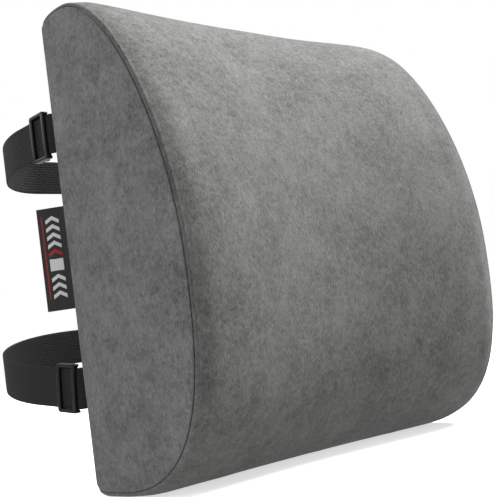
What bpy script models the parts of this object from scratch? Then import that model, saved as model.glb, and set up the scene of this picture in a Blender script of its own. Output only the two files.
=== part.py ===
# Lumbar support cushion: moulded foam in a liner and a zipped fabric cover, with two elastic
# chair straps, their slide adjusters and a woven side label.
# Metres, +Z up. The flat back lies in the plane Y = 0 with +Y towards the chair, and the origin is
# the middle of that back. "depth" below is measured forwards from the back, so Y = -depth.
import math

import bmesh
import bpy
from mathutils import Matrix, Vector

# Cushion body, outside sizes
HEIGHT = 0.330
WIDTH = 0.323
DEPTH = 0.120
PUFF = 0.0039  # how far the front panel stands proud of its side seams
SHOULDER = 0.0055  # width of the rounding beside a side seam
SADDLE = 0.0113  # how far the middle of the front is hollowed
DEEPEST_HEIGHT = 0.1394  # where the front is deepest, above the base
BASE_FLAT_BACK = 0.012  # the flat the cushion stands on, from and to this depth
BASE_FLAT_FRONT = 0.030
TOP_CREST_DEPTH = 0.023
BACK_CORNER = 0.0065  # how far the top and bottom edges of the back are rounded off

# Layers, from the outside in
PANEL = 0.0016  # cover fabric
GAP = 0.0003  # clearance between neighbouring pieces
LINER = 0.0006
ZIP_ROOM = 0.0015  # slack behind the back panel for the zip slider
LINER_SLIT = 0.0030
LINER_SLIT_LENGTH = 0.220
LINER_SLIT_HEIGHT = 0.060

# Zip across the back, near the bottom
ZIP_HEIGHT = 0.034
ZIP_LENGTH = 0.250
ZIP_TAPE_WIDTH = 0.0048
ZIP_TAPE = 0.0008
TOOTH_PITCH = 0.0050
TOOTH_LENGTH = 0.0010
TOOTH_ROOT = 0.0008
TOOTH_THICKNESS = 0.0012
ZIP_CENTRE_GAP = 0.0006  # half the space between the two rows of teeth
SLIDER_LENGTH = 0.0090
SLIDER_WIDTH = 0.0076
SLIDER_PLATE = 0.0009
SLIDER_NECK = 0.0006
NECK_OVERHANG = 0.0006  # how far the neck reaches past the bridge
ZIP_END_MARGIN = 0.0080  # from the end of the teeth to the middle of the closed slider
STOP_LENGTH = 0.0030
BRIDGE_LENGTH = 0.0070
BRIDGE_WIDTH = 0.0018
BRIDGE_POST = 0.0010
BRIDGE_TOP = 0.0008
PULL_THICKNESS = 0.0012
PULL_PLAY = 0.0006  # play of the pull's bar in the bridge
PULL_WIDTH = 0.0068
PULL_LENGTH = 0.026
PULL_ARM = 0.0012
EYE_REACH = 0.0047  # from the pull's axis to the end of its eye

# Elastic straps
WEBBING_WIDTH = 0.0275
WEBBING = 0.0014
UPPER_STRAP_HEIGHT = 0.2469  # middle of the webbing where it leaves the seam, above the base
LOWER_STRAP_HEIGHT = 0.0730
STRAIGHT_END = 0.050  # the webbing runs straight from the seam's bend to this far behind the back
BEND_END = 0.0055  # the bend out of the seam ends here
NOTCH_PLAY = 0.0003

# Slide adjuster
ADJUSTER_LENGTH = 0.0206
ADJUSTER_RAIL = 0.0024
RAIL_DEPTH = 0.0010  # how far the rails reach past the webbing's inner face
OUTER_BAR_WIDTH = 0.0034
OUTER_BAR = 0.0018
CENTRE_BAR_WIDTH = 0.0030
CENTRE_BAR = 0.0018
FOLD = 0.0011  # thickness of the turned webbing end
FOLD_LENGTH = 0.0180
TACK_LENGTH = 0.0050
TACK_THICKNESS = 0.0004

# Woven label
LABEL_HEIGHT = 0.0694
LABEL_REACH = 0.0176
LABEL_THICKNESS = 0.0012
LABEL_MIDDLE = 0.1610  # above the base
LABEL_ANGLE = math.radians(53)  # from the cushion's side direction, towards the back
LABEL_OFFSET = 0.0009

FOAM_COLOUR = (0.72, 0.70, 0.62)
LINER_COLOUR = (0.60, 0.60, 0.58)
COVER_COLOUR = (0.150, 0.145, 0.138)
WEBBING_COLOUR = (0.012, 0.012, 0.013)
PLASTIC_COLOUR = (0.010, 0.010, 0.011)
ZIP_COLOUR = (0.035, 0.035, 0.036)
METAL_COLOUR = (0.42, 0.42, 0.43)
LABEL_COLOUR = (0.014, 0.014, 0.015)

HALF = WIDTH / 2
LOW = -HEIGHT / 2  # Z of the plane that the cushion stands on


def clear_scene():
    for old in list(bpy.data.objects):
        bpy.data.objects.remove(old, do_unlink=True)


def material(name, colour, roughness, metallic=0.0):
    made = bpy.data.materials.new(name)
    made.use_nodes = True
    shader = made.node_tree.nodes["Principled BSDF"]
    shader.inputs["Base Color"].default_value = (*colour, 1.0)
    shader.inputs["Roughness"].default_value = roughness
    shader.inputs["Metallic"].default_value = metallic
    made.diffuse_color = (*colour, 1.0)
    return made


def add_object(name, mesh_maker, finish, origin=(0, 0, 0), sharp=30):
    """Makes one object from a filled bmesh, with its origin at the given point."""
    mesh = mesh_maker
    bmesh.ops.recalc_face_normals(mesh, faces=mesh.faces)
    bmesh.ops.translate(mesh, verts=mesh.verts, vec=-Vector(origin))
    data = bpy.data.meshes.new(name)
    mesh.to_mesh(data)
    mesh.free()
    data.materials.append(finish)
    data.shade_smooth()
    data.set_sharp_from_angle(angle=math.radians(sharp))
    made = bpy.data.objects.new(name, data)
    made.location = origin
    bpy.context.scene.collection.objects.link(made)
    return made


def loft(rings, caps=True, turned_from=None):
    """Pairs of triangles between rings of points that match one to one, with an end face on the
    first and last. From the point turned_from on, where a section runs back along its own inside,
    each pair is split the other way, so that a wall's two faces and the next layer have the same
    creases."""
    mesh = bmesh.new()
    rows = [[mesh.verts.new(point) for point in ring] for ring in rings]
    count = len(rows[0])
    for first, second in zip(rows, rows[1:]):
        for i in range(count):
            j = (i + 1) % count
            if turned_from is not None and i >= turned_from:
                mesh.faces.new((first[i], first[j], second[i]))
                mesh.faces.new((first[j], second[j], second[i]))
            else:
                mesh.faces.new((first[i], first[j], second[j]))
                mesh.faces.new((first[i], second[j], second[i]))
    if caps:
        mesh.faces.new(reversed(rows[0]))
        mesh.faces.new(rows[-1])
    return mesh


def ring_loft(rings):
    """Like loft, but the last ring joins the first again."""
    mesh = loft(rings, caps=False)
    mesh.verts.ensure_lookup_table()
    count = len(rings[0])
    last = (len(rings) - 1) * count
    for i in range(count):
        j = (i + 1) % count
        corners = (last + i, last + j, j, i)
        mesh.faces.new([mesh.verts[k] for k in corners])
    return mesh


def add_box(mesh, low, high):
    corners = [
        Vector((x, y, z))
        for x in (low[0], high[0])
        for y in (low[1], high[1])
        for z in (low[2], high[2])
    ]
    made = [mesh.verts.new(corner) for corner in corners]
    for face in ((0, 1, 3, 2), (4, 6, 7, 5), (0, 4, 5, 1), (2, 3, 7, 6), (0, 2, 6, 4), (1, 5, 7, 3)):
        mesh.faces.new([made[i] for i in face])


def box_mesh(low, high):
    mesh = bmesh.new()
    add_box(mesh, low, high)
    return mesh


def cell_solid(edges, is_solid):
    """A square-cornered solid: edges holds the places where it changes along X, Y and Z, and
    is_solid says of a cell's middle whether the cell is filled. Only the outer walls are made."""
    mesh = bmesh.new()
    middles = [[(a + b) / 2 for a, b in zip(line, line[1:])] for line in edges]
    corners = {}

    def corner(i, j, k):
        if (i, j, k) not in corners:
            corners[i, j, k] = mesh.verts.new((edges[0][i], edges[1][j], edges[2][k]))
        return corners[i, j, k]

    def filled(cell):
        inside = all(0 <= cell[axis] < len(middles[axis]) for axis in range(3))
        return inside and is_solid(*(middles[axis][cell[axis]] for axis in range(3)))

    for i in range(len(middles[0])):
        for j in range(len(middles[1])):
            for k in range(len(middles[2])):
                if not filled((i, j, k)):
                    continue
                for axis in range(3):
                    for step in (0, 1):
                        beside = [i, j, k]
                        beside[axis] += 2 * step - 1
                        if filled(beside):
                            continue
                        wall = []
                        for a, b in ((0, 0), (1, 0), (1, 1), (0, 1)):
                            place = [i, j, k]
                            place[axis] += step
                            place[(axis + 1) % 3] += a
                            place[(axis + 2) % 3] += b
                            wall.append(corner(*place))
                        mesh.faces.new(wall if step else wall[::-1])
    return mesh


def boolean(target, other, operation):
    """Joins or cuts target with a helper object, which stays out of the render."""
    other.hide_render = True
    other.display_type = "WIRE"
    cut = target.modifiers.new(other.name, "BOOLEAN")
    cut.operation = operation
    cut.solver = "EXACT"
    cut.object = other


def helper_box(name, low, high, finish):
    return add_object(name, box_mesh(low, high), finish)


def bezier(a, b, c, d, steps):
    """Points along a cubic curve, without its first point."""
    found = []
    for i in range(1, steps + 1):
        t = i / steps
        s = 1 - t
        found.append(a * s**3 + b * 3 * t * s * s + c * 3 * t * t * s + d * t**3)
    return found


def seam_outline():
    """The side seam as (depth, height above the base), from the bottom of the back round the front
    to the top of the back."""
    low, high = PUFF, HEIGHT - PUFF
    deepest = Vector((DEPTH - PUFF, DEEPEST_HEIGHT))
    crest = Vector((TOP_CREST_DEPTH, high))
    flat_front = Vector((BASE_FLAT_FRONT, low))
    points = [Vector((0, low + BACK_CORNER)), Vector((BACK_CORNER / 2, low + BACK_CORNER / 3))]
    points += [Vector((BASE_FLAT_BACK, low)), flat_front]
    points += bezier(
        flat_front, flat_front + Vector((0.084, 0)), deepest - Vector((0, 0.054)), deepest, 9
    )
    points += bezier(
        deepest, deepest + Vector((0, 0.091)), crest + Vector((0.043, 0)), crest, 12
    )
    points += [Vector((BACK_CORNER / 2 + 0.004, high - BACK_CORNER / 4))]
    points += [Vector((0, high - BACK_CORNER))]
    return points


OUTLINE = seam_outline()
BASE_FLAT_START = 2  # which outline point begins the base's flat


def outward(index):
    """Outward direction of the outline at one of its points, in depth and height."""
    if index == 0:
        return Vector((0, -1))
    if index == len(OUTLINE) - 1:
        return Vector((0, 1))
    if index in (BASE_FLAT_START, BASE_FLAT_START + 1):
        return Vector((0, -1))
    along = OUTLINE[index + 1] - OUTLINE[index - 1]
    return Vector((along.y, -along.x)).normalized()


def shaped_outline(across, inset, back):
    """The body's outline at a place across the width (-1 to 1), taken in by inset, with its two ends
    at the depth given by back."""
    from_seam = (1 - abs(across)) * HALF
    rise = min(from_seam / SHOULDER, 1)
    puff = PUFF * math.sqrt(1 - (1 - rise) ** 2)
    hollow = SADDLE * math.cos(math.pi * across / 2) ** 2
    points = []
    for index, point in enumerate(OUTLINE):
        normal = outward(index)
        move = puff - inset - hollow * max(normal.x, 0)
        moved = point + normal * move
        points.append(Vector((max(moved.x, back), moved.y)))
    return points


def stations():
    """Places across the width, from -1 to 1: close together on the two shoulders."""
    shoulder = SHOULDER / HALF
    edge = [1 - shoulder * part for part in (0, 0.12, 0.4, 1)]
    inner = [0.86, 0.7, 0.5, 0.25]
    right = edge + inner
    return [-place for place in right] + [0] + right[::-1]


def layer_rings(inset, back):
    """Closed rings of a body that lies inset inside the cover's outside."""
    rings = []
    for across in stations():
        x = across * (HALF - inset)
        ring = shaped_outline(across, inset, back)
        rings.append([(x, -p.x, LOW + p.y) for p in ring])
    return rings


def make_foam(finish):
    inset = PANEL + GAP + LINER + GAP
    back = inset + ZIP_ROOM
    add_object("foam_core", loft(layer_rings(inset, back)), finish)


def make_liner(finish):
    outer = PANEL + GAP
    inner = outer + LINER
    liner = add_object("foam_liner", loft(layer_rings(outer, outer + ZIP_ROOM)), finish)
    hollow = add_object("liner_hollow", loft(layer_rings(inner, inner + ZIP_ROOM)), finish)
    slit = helper_box(
        "liner_slit",
        (-LINER_SLIT_LENGTH / 2, -(inner + ZIP_ROOM + GAP), LOW + LINER_SLIT_HEIGHT - LINER_SLIT / 2),
        (LINER_SLIT_LENGTH / 2, 0, LOW + LINER_SLIT_HEIGHT + LINER_SLIT / 2),
        finish,
    )
    boolean(liner, hollow, "DIFFERENCE")
    boolean(liner, slit, "DIFFERENCE")


def make_front_panel(finish):
    """One strip of cover from the top of the back over the front and under the base."""
    start = PANEL + GAP
    reach = HALF - PANEL - GAP
    rings = []
    for across in stations():
        x = across * reach
        outer = shaped_outline(across, 0, start)
        inner = shaped_outline(across, PANEL, start)
        section = outer + inner[::-1]
        rings.append([(x, -p.x, LOW + p.y) for p in section])
    add_object("cover_front_panel", loft(rings, turned_from=len(OUTLINE)), finish)


def make_side_panels(finish):
    outline = [Vector(p) for p in OUTLINE]
    for name, side in (("cover_side_panel_left", -1), ("cover_side_panel_right", 1)):
        rings = []
        for x in (side * (HALF - PANEL), side * HALF):
            rings.append([(x, -p.x, LOW + p.y) for p in outline])
        add_object(name, loft(rings), finish)


def side_notches():
    """(middle height, length) of each place where webbing or the label passes the back panel."""
    webbing = WEBBING_WIDTH + 2 * NOTCH_PLAY
    return [(LOWER_STRAP_HEIGHT, webbing), (UPPER_STRAP_HEIGHT, webbing)]


def make_back_panels(finish):
    reach = HALF - PANEL - GAP
    notch = WEBBING + 2 * NOTCH_PLAY
    low_edge = OUTLINE[0].y - PUFF
    high_edge = OUTLINE[-1].y + PUFF
    tape_edge = ZIP_CENTRE_GAP + TOOTH_LENGTH + TOOTH_ROOT + GAP + ZIP_TAPE_WIDTH + GAP
    right = [(reach - SHOULDER, low_edge), (reach, low_edge + PUFF)]
    lower = right + [(reach, ZIP_HEIGHT - tape_edge)]
    outline = lower + [(-x, z) for x, z in reversed(lower)]
    add_back_plate("cover_back_lower_panel", outline, finish)
    upper = [(reach, ZIP_HEIGHT + tape_edge)]
    for middle, length in side_notches():
        upper.append((reach, middle - length / 2))
        upper.append((reach - notch, middle - length / 2))
        upper.append((reach - notch, middle + length / 2))
        upper.append((reach, middle + length / 2))
    upper += [(reach, high_edge - PUFF), (reach - SHOULDER, high_edge)]
    outline = upper + [(-x, z) for x, z in reversed(upper)]
    add_back_plate("cover_back_panel", outline, finish)


def add_back_plate(name, outline, finish):
    rings = [[(x, y, LOW + z) for x, z in outline] for y in (-PANEL, 0)]
    add_object(name, loft(rings), finish)


def make_zip(tape_finish, teeth_finish, metal):
    middle = LOW + ZIP_HEIGHT
    tape_start = ZIP_CENTRE_GAP + TOOTH_LENGTH + TOOTH_ROOT + GAP
    teeth_depth = (PANEL - TOOTH_THICKNESS) / 2
    tape_depth = (PANEL - ZIP_TAPE) / 2
    for row, side in (("upper", 1), ("lower", -1)):
        near = middle + side * tape_start
        far = middle + side * (tape_start + ZIP_TAPE_WIDTH)
        add_object(
            "zip_tape_" + row,
            box_mesh(
                (-HALF + 0.006, -tape_depth - ZIP_TAPE, min(near, far)),
                (HALF - 0.006, -tape_depth, max(near, far)),
            ),
            tape_finish,
        )
        teeth = tooth_outline(side)
        rings = [[(x, y, middle + z) for x, z in teeth] for y in (-teeth_depth - TOOTH_THICKNESS, -teeth_depth)]
        add_object("zip_teeth_" + row, loft(rings), teeth_finish)
    for name, side in (("zip_bottom_stop", -1), ("zip_top_stop", 1)):
        near = side * (ZIP_LENGTH / 2 + GAP)
        far = side * (ZIP_LENGTH / 2 + GAP + STOP_LENGTH)
        half_width = tape_start - GAP
        low = (min(near, far), -teeth_depth - TOOTH_THICKNESS, middle - half_width)
        high = (max(near, far), -teeth_depth, middle + half_width)
        add_object(name, box_mesh(low, high), metal)


def tooth_outline(side):
    """One row of teeth as (x, height from the zip's middle line)."""
    tip = side * ZIP_CENTRE_GAP
    root = side * (ZIP_CENTRE_GAP + TOOTH_LENGTH)
    back = side * (ZIP_CENTRE_GAP + TOOTH_LENGTH + TOOTH_ROOT)
    count = round(ZIP_LENGTH / TOOTH_PITCH)
    pitch = ZIP_LENGTH / count
    points = []
    for i in range(count):
        start = -ZIP_LENGTH / 2 + (i + 0.22) * pitch
        end = start + 0.56 * pitch
        points += [(start, root), (start + 0.1 * pitch, tip), (end - 0.1 * pitch, tip), (end, root)]
    points += [(ZIP_LENGTH / 2, root), (ZIP_LENGTH / 2, back), (-ZIP_LENGTH / 2, back)]
    points += [(-ZIP_LENGTH / 2, root)]
    return points


def make_slider(metal):
    """Slider body with its bridge, and the pull whose bar turns in the bridge."""
    middle = LOW + ZIP_HEIGHT
    start = -ZIP_LENGTH / 2 + ZIP_END_MARGIN
    inner_face = -(PANEL + GAP)
    outer_face = GAP
    plate_top = outer_face + SLIDER_PLATE
    bar_centre = plate_top + PULL_PLAY + PULL_THICKNESS / 2
    bridge_inside = bar_centre + PULL_THICKNESS / 2 + PULL_PLAY
    post_outside = BRIDGE_LENGTH / 2
    post_inside = post_outside - BRIDGE_POST
    half_length = SLIDER_LENGTH / 2
    half_width = SLIDER_WIDTH / 2
    neck_end = post_outside + NECK_OVERHANG
    edges = (
        (-half_length, -post_outside, -post_inside, post_inside, post_outside, neck_end, half_length),
        (inner_face - SLIDER_PLATE, inner_face, outer_face, plate_top, bridge_inside, bridge_inside + BRIDGE_TOP),
        (-half_width, -BRIDGE_WIDTH / 2, -SLIDER_NECK / 2, SLIDER_NECK / 2, BRIDGE_WIDTH / 2, half_width),
    )

    def is_solid(x, y, z):
        if y < inner_face or outer_face < y < plate_top:
            return True
        if y < outer_face:
            return post_inside < x < neck_end and abs(z) < SLIDER_NECK / 2
        in_bridge = abs(x) < post_outside and abs(z) < BRIDGE_WIDTH / 2
        return in_bridge and (abs(x) > post_inside or y > bridge_inside)

    slider = add_object("zip_slider", cell_solid(edges, is_solid), metal)
    slider.location = (start, 0, middle)
    make_pull(metal, start, bar_centre, middle)


def make_pull(metal, axis_x, axis_y, middle):
    """Flat pull lying towards -X. Its outline is drawn as (distance from the axis, half width)."""
    bar = PULL_THICKNESS / 2
    wide = PULL_WIDTH / 2
    outer = [(-bar, wide - PULL_ARM / 2), (EYE_REACH, wide), (PULL_LENGTH * 0.8, wide * 0.86)]
    outer += [(PULL_LENGTH * 0.95, wide * 0.66), (PULL_LENGTH, wide * 0.3)]
    inside = wide - PULL_ARM
    hole = [(bar, inside), (EYE_REACH * 0.55, inside), (EYE_REACH * 0.86, inside)]
    hole += [(EYE_REACH * 0.95, inside * 0.8), (EYE_REACH, inside * 0.5)]
    rings = []
    for edge, side in ((outer, -1), (outer, 1), (hole, 1), (hole, -1)):
        y = axis_y + side * PULL_THICKNESS / 2
        loop = [(axis_x - reach, y, middle + half) for reach, half in edge]
        loop += [(axis_x - reach, y, middle - half) for reach, half in reversed(edge)]
        rings.append(loop)
    add_object("zip_pull", ring_loft(rings), metal, (axis_x, axis_y, middle))


# Each strap: middle height at the seam, how far the webbing has moved outwards where its bend out
# of the seam ends and where it stops running straight, where its slide adjuster starts behind the
# back, the turn behind the chair (reach, half the run there, two handle lengths), and how far the
# webbing has climbed at the end of the straight stretch and in all.
STRAPS = {
    "upper": {
        "height": UPPER_STRAP_HEIGHT,
        "bend_out": 0.0025,
        "straight_out": -0.0023,
        "adjuster_start": 0.0064,
        "reach": 0.1430,
        "run_half": 0.0826,
        "side_handle": 0.0283,
        "back_handle": 0.0422,
        "straight_rise": 0.0,
        "rise": 0.0,
    },
    "lower": {
        "height": LOWER_STRAP_HEIGHT,
        "bend_out": 0.0037,
        "straight_out": 0.0040,
        "adjuster_start": 0.0055,
        "reach": 0.1488,
        "run_half": 0.0590,
        "side_handle": 0.0800,
        "back_handle": 0.0720,
        "straight_rise": 0.0050,
        "rise": 0.0312,
    },
}
SEAM_X = HALF - PANEL - GAP - WEBBING / 2  # middle of the webbing between the side and back panels


def straight_stretch(strap):
    """The two ends of the webbing's straight stretch on the left side, and its direction."""
    base = LOW + strap["height"]
    bend = Vector((-SEAM_X - strap["bend_out"], BEND_END, base))
    end = Vector((-SEAM_X - strap["straight_out"], STRAIGHT_END, base + strap["straight_rise"]))
    return bend, end, (end - bend).normalized()


def strap_path(strap):
    """Middle line of one webbing loop, from the left seam to the right seam."""
    bend, end, along = straight_stretch(strap)
    level = LOW + strap["height"]
    run = Vector((-strap["run_half"], strap["reach"], level + strap["rise"]))
    mouth = Vector((-SEAM_X, GAP, level))
    half = [Vector((-SEAM_X, -PANEL, level)), mouth]
    half += bezier(mouth, mouth + Vector((0, 0.002, 0)), bend - along * 0.002, bend, 3)
    half.append(end)
    half += bezier(
        end, end + along * strap["side_handle"], run - Vector((strap["back_handle"], 0, 0)), run, 14
    )
    middle = Vector((0, strap["reach"], level + strap["rise"]))
    return half + [middle] + [Vector((-p.x, p.y, p.z)) for p in reversed(half)]


def make_band(name, strap, finish):
    path = strap_path(strap)
    rings = []
    for i, point in enumerate(path):
        before = path[max(i - 1, 0)]
        after = path[min(i + 1, len(path) - 1)]
        along = (after - before).normalized()
        up = Vector((0, 0, 1))
        up = (up - along * along.z).normalized() * WEBBING_WIDTH / 2
        away = up.cross(along).normalized() * WEBBING / 2
        corners = (point + away - up, point + away + up, point - away + up, point - away - up)
        rings.append([tuple(corner) for corner in corners])
    add_object(name + "_strap_band", loft(rings), finish)


def adjuster_frame(strap):
    """Middle of the slide adjuster, and its directions along, away from and across the webbing."""
    bend, _, along = straight_stretch(strap)
    start = bend + along * ((strap["adjuster_start"] - BEND_END) / along.y)
    middle = start + along * (ADJUSTER_LENGTH / 2)
    up = (Vector((0, 0, 1)) - along * along.z).normalized()
    return middle, along, up.cross(along).normalized(), up


def add_on_strap(name, mesh, finish, strap):
    """Adds a mesh drawn as (along, away, up) about the adjuster's middle."""
    made = add_object(name, mesh, finish)
    middle, along, away, up = adjuster_frame(strap)
    made.matrix_world = Matrix.Translation(middle) @ Matrix((along, away, up)).transposed().to_4x4()
    return made


def make_adjuster(name, strap, plastic, webbing_finish, thread):
    """Moulded frame: two outer bars in front of the webbing and a centre bar behind it."""
    half_length = ADJUSTER_LENGTH / 2
    window = WEBBING_WIDTH / 2 + GAP
    half_height = window + ADJUSTER_RAIL
    outer_low = WEBBING / 2 + GAP
    fold_top = -outer_low
    rail_low = fold_top - RAIL_DEPTH
    bar_high = fold_top - FOLD - GAP
    bar_low = bar_high - CENTRE_BAR
    centre = CENTRE_BAR_WIDTH / 2
    bar_edge = half_length - OUTER_BAR_WIDTH
    edges = (
        (-half_length, -bar_edge, -centre, centre, bar_edge, half_length),
        (bar_low, bar_high, rail_low, outer_low, outer_low + OUTER_BAR),
        (-half_height, -window, window, half_height),
    )

    def is_solid(along, away, up):
        if abs(up) > window:
            return away > rail_low or abs(along) < centre
        if abs(along) < centre:
            return away < bar_high
        return abs(along) > bar_edge and away > outer_low

    add_on_strap(name + "_adjuster", cell_solid(edges, is_solid), plastic, strap)
    make_fold(name, strap, fold_top, bar_low, webbing_finish, thread)


def make_fold(name, strap, top, bar_low, webbing_finish, thread):
    """The webbing's end turned round the centre bar and laid back on itself."""
    bottom = bar_low - GAP - FOLD
    nose = -(CENTRE_BAR_WIDTH / 2 + GAP + FOLD)
    join_low = top - 2 * FOLD
    outer = [(FOLD_LENGTH, top), (CENTRE_BAR_WIDTH / 2, top), (nose + FOLD, top)]
    outer += [(nose, top - FOLD), (nose, bottom + FOLD), (nose + FOLD, bottom)]
    outer += [(CENTRE_BAR_WIDTH / 2 + GAP, bottom), (FOLD_LENGTH * 0.5, join_low), (FOLD_LENGTH, join_low)]
    inner_nose = nose + FOLD
    tip = CENTRE_BAR_WIDTH / 2 + GAP + 0.0022
    inner = [(tip, top - FOLD), (CENTRE_BAR_WIDTH / 2, top - FOLD), (inner_nose + 0.0002, top - FOLD)]
    inner += [(inner_nose, top - FOLD - 0.0002), (inner_nose, bottom + FOLD + 0.0002)]
    inner += [(inner_nose + 0.0002, bottom + FOLD), (CENTRE_BAR_WIDTH / 2 + GAP, bottom + FOLD)]
    inner += [(tip, (top + bottom) / 2), (tip + 0.0003, (top + bottom) / 2 + 0.0004)]
    half = WEBBING_WIDTH / 2 - GAP
    rings = []
    for edge, z in ((outer, -half), (outer, half), (inner, half), (inner, -half)):
        rings.append([(a, b, z) for a, b in edge])
    add_on_strap(name + "_strap_fold", ring_loft(rings), webbing_finish, strap)
    tack_top = join_low - GAP
    start = FOLD_LENGTH - TACK_LENGTH - 0.0012
    tack = box_mesh(
        (start, tack_top - TACK_THICKNESS, -half * 0.82), (start + TACK_LENGTH, tack_top, half * 0.82)
    )
    add_on_strap(name + "_fold_bar_tack", tack, thread, strap)


def make_label(finish):
    """Folded woven label standing out of the left back seam, on a vertical axis beside the seam."""
    axis = Vector((-HALF - LABEL_OFFSET * 0.7, LABEL_OFFSET * 0.7, LOW + LABEL_MIDDLE))
    out = Vector((-math.cos(LABEL_ANGLE), math.sin(LABEL_ANGLE), 0))
    face = Vector((-out.y, out.x, 0)) * LABEL_THICKNESS / 2
    half = Vector((0, 0, LABEL_HEIGHT / 2))
    rings = []
    for reach, thick in ((0, 0.6), (0.002, 1), (LABEL_REACH - 0.001, 1), (LABEL_REACH, 0.5)):
        centre = axis + out * reach
        side = face * thick
        rings.append([centre + side - half, centre + side + half, centre - side + half, centre - side - half])
    add_object("woven_label", loft(rings), finish, axis)


def main():
    clear_scene()
    cover = material("cover_plush", COVER_COLOUR, 0.95)
    webbing = material("strap_elastic", WEBBING_COLOUR, 0.85)
    plastic = material("adjuster_plastic", PLASTIC_COLOUR, 0.30)
    zip_fabric = material("zip_tape", ZIP_COLOUR, 0.80)
    zip_nylon = material("zip_nylon", ZIP_COLOUR, 0.45)
    metal = material("zip_metal", METAL_COLOUR, 0.35, 1.0)
    thread = material("thread", WEBBING_COLOUR, 0.60)
    make_foam(material("memory_foam", FOAM_COLOUR, 0.90))
    make_liner(material("liner_cloth", LINER_COLOUR, 0.90))
    make_front_panel(cover)
    make_side_panels(cover)
    make_back_panels(cover)
    make_zip(zip_fabric, zip_nylon, metal)
    make_slider(metal)
    for name, strap in STRAPS.items():
        make_band(name, strap, webbing)
        make_adjuster(name, strap, plastic, webbing, thread)
    make_label(material("label_weave", LABEL_COLOUR, 0.70))


main()
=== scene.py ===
# Lumbar support cushion: plush cover over foam, two elastic chair straps, a zip and a side label.
# Everything is in metres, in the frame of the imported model: the flat back lies in Y = 0, +Z is up.
import math

import bmesh
import bpy
from mathutils import Matrix, Vector, kdtree, noise


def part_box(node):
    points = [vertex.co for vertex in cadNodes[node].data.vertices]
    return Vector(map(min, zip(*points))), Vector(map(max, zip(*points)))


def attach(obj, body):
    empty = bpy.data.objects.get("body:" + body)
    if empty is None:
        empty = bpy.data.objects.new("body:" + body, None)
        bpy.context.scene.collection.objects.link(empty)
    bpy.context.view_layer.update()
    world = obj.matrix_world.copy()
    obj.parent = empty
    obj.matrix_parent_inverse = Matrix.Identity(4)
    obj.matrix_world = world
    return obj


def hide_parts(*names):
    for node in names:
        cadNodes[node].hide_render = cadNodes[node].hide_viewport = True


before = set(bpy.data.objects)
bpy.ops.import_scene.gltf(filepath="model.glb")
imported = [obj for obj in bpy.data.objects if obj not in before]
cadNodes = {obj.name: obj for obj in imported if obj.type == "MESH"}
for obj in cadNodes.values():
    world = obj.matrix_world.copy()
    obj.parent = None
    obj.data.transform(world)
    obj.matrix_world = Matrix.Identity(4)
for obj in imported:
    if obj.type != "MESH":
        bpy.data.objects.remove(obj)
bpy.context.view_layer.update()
scene = bpy.context.scene
print("frame loaded:", len(cadNodes), "nodes")


def makePiece(name, points, faces, finishes, smoothAngle=50):
    mesh = bpy.data.meshes.new(name)
    mesh.from_pydata([tuple(p) for p in points], [], faces)
    for finish in finishes if isinstance(finishes, list) else [finishes]:
        mesh.materials.append(finish)
    mesh.shade_smooth()
    mesh.set_sharp_from_angle(angle=math.radians(smoothAngle))
    piece = bpy.data.objects.new(name, mesh)
    scene.collection.objects.link(piece)
    return piece


def stands(piece, body, slotName, *nodes):  # what a piece moves with and stands for
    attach(piece, body)
    if nodes:
        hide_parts(*nodes)
    return piece


def gridFaces(rows, columns, closed=False):  # quads of a grid whose columns may run round
    faces = []
    for i in range(rows - 1):
        for j in range(columns if closed else columns - 1):
            k = (j + 1) % columns
            faces.append((i * columns + j, i * columns + k, (i + 1) * columns + k, (i + 1) * columns + j))
    return faces


def loftPiece(name, rings, finish, capped=True, smoothAngle=50):  # rings of points joined one to the next
    count = len(rings[0])
    points = [p for ring in rings for p in ring]
    faces = gridFaces(len(rings), count, True)
    if capped:
        faces.append(tuple(reversed(range(count))))
        faces.append(tuple(range(len(points) - count, len(points))))
    piece = makePiece(name, points, faces, finish, smoothAngle)
    faceOut(piece)
    return piece


def faceOut(piece):
    work = bmesh.new()
    work.from_mesh(piece.data)
    bmesh.ops.recalc_face_normals(work, faces=work.faces)
    work.to_mesh(piece.data)
    work.free()


def bake(piece):  # puts the piece's modifiers into its mesh
    graph = bpy.context.evaluated_depsgraph_get()
    mesh = bpy.data.meshes.new_from_object(piece.evaluated_get(graph))
    piece.modifiers.clear()
    piece.data = mesh


def fuse(base, others):  # one closed body out of several
    for other in others:
        join = base.modifiers.new("join", "BOOLEAN")
        join.operation = "UNION"
        join.object = other
    bake(base)
    for other in others:
        bpy.data.objects.remove(other, do_unlink=True)


def bezier(a, b, c, d, steps):  # a cubic curve without its first point
    found = []
    for i in range(1, steps + 1):
        t = i / steps
        s = 1 - t
        found.append(a * s**3 + b * 3 * t * s * s + c * 3 * t * t * s + d * t**3)
    return found


def smooth(low, high, value):
    t = min(max((value - low) / (high - low), 0), 1)
    return t * t * (3 - 2 * t)


def feed(tree, socket, value):  # links a socket to another one, or sets it
    if isinstance(value, bpy.types.NodeSocket):
        tree.links.new(value, socket)
    else:
        socket.default_value = value


def addNode(tree, kind, links=(), **settings):
    node = tree.nodes.new(kind)
    for key, value in settings.items():
        setattr(node, key, value)
    for name, value in dict(links).items():
        feed(tree, node.inputs[name], value)
    return node


def mathNode(tree, operation, a, b=0.0):
    return addNode(tree, "ShaderNodeMath", {0: a, 1: b}, operation=operation).outputs[0]


def rangeNode(tree, value, low, high, toLow, toHigh):
    links = {"Value": value, "From Min": low, "From Max": high, "To Min": toLow, "To Max": toHigh}
    return addNode(tree, "ShaderNodeMapRange", links).outputs["Result"]


def mixColour(tree, factor, a, b, blend="MIX"):
    node = addNode(tree, "ShaderNodeMix", data_type="RGBA", blend_type=blend)
    for place, value in (("Factor", factor), (6, a), (7, b)):
        feed(tree, node.inputs[place], value)
    return node.outputs[2]


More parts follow.
